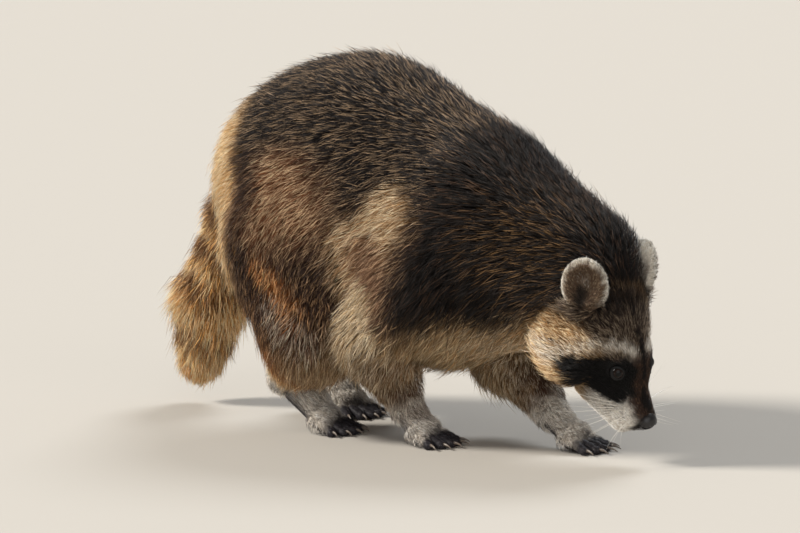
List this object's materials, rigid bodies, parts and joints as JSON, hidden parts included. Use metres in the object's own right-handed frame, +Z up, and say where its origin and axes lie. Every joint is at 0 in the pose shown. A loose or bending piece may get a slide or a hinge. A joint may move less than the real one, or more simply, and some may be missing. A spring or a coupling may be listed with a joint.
{
  "type": "raccoon model",
  "caption": "Life-size raccoon with a ringed bushy tail and black face mask, walking with its head lowered to sniff the ground.",
  "frame": {"origin": "middle of the bounding box in plan, on the floor the feet stand on", "axes": "+X the way the trunk faces, +Y the animal's left side, +Z up"},
  "size_m": [0.5908, 0.2604, 0.3557],
  "materials": {
    "body_fur": "long grizzled guard hair, dark brown to black with tan tips",
    "leg_fur": "grey-brown fur, paler and shorter down the leg",
    "tail_fur": "bushy tan fur with dark brown rings",
    "face_fur": "short dense fur with a black mask and white brow and muzzle",
    "ear_fur": "short pale fur, hollow front",
    "foot_skin": "bare dark skin on toes and pads, thin pale hair above",
    "nose_leather": "moist pebbled black skin",
    "eye": "wet dark brown, mirror-smooth",
    "claw": "smooth horn, dark grey-brown with paler tip"
  },
  "bodies": {
    "root": {"chest": "body_fur", "claw_fore_left_1": "claw", "claw_fore_left_2": "claw", "claw_fore_left_3": "claw", "claw_fore_left_4": "claw", "claw_fore_left_5": "claw", "claw_fore_right_1": "claw", "claw_fore_right_2": "claw", "claw_fore_right_3": "claw", "claw_fore_right_4": "claw", "claw_fore_right_5": "claw", "claw_hind_left_1": "claw", "claw_hind_left_2": "claw", "claw_hind_left_3": "claw", "claw_hind_left_4": "claw", "claw_hind_left_5": "claw", "claw_hind_right_1": "claw", "claw_hind_right_2": "claw", "claw_hind_right_3": "claw", "claw_hind_right_4": "claw", "claw_hind_right_5": "claw", "ear_left": "ear_fur", "ear_right": "ear_fur", "eye_left": "eye", "eye_right": "eye", "foot_left": "foot_skin", "foot_right": "foot_skin", "forearm_left": "leg_fur", "forearm_right": "leg_fur", "head": "face_fur", "neck": "body_fur", "nose": "nose_leather", "paw_left": "foot_skin", "paw_right": "foot_skin", "shank_left": "leg_fur", "shank_right": "leg_fur", "tail": "tail_fur", "thigh_left": "leg_fur", "thigh_right": "leg_fur", "trunk": "body_fur", "upper_arm_left": "leg_fur", "upper_arm_right": "leg_fur"}
  },
  "joints": []
}
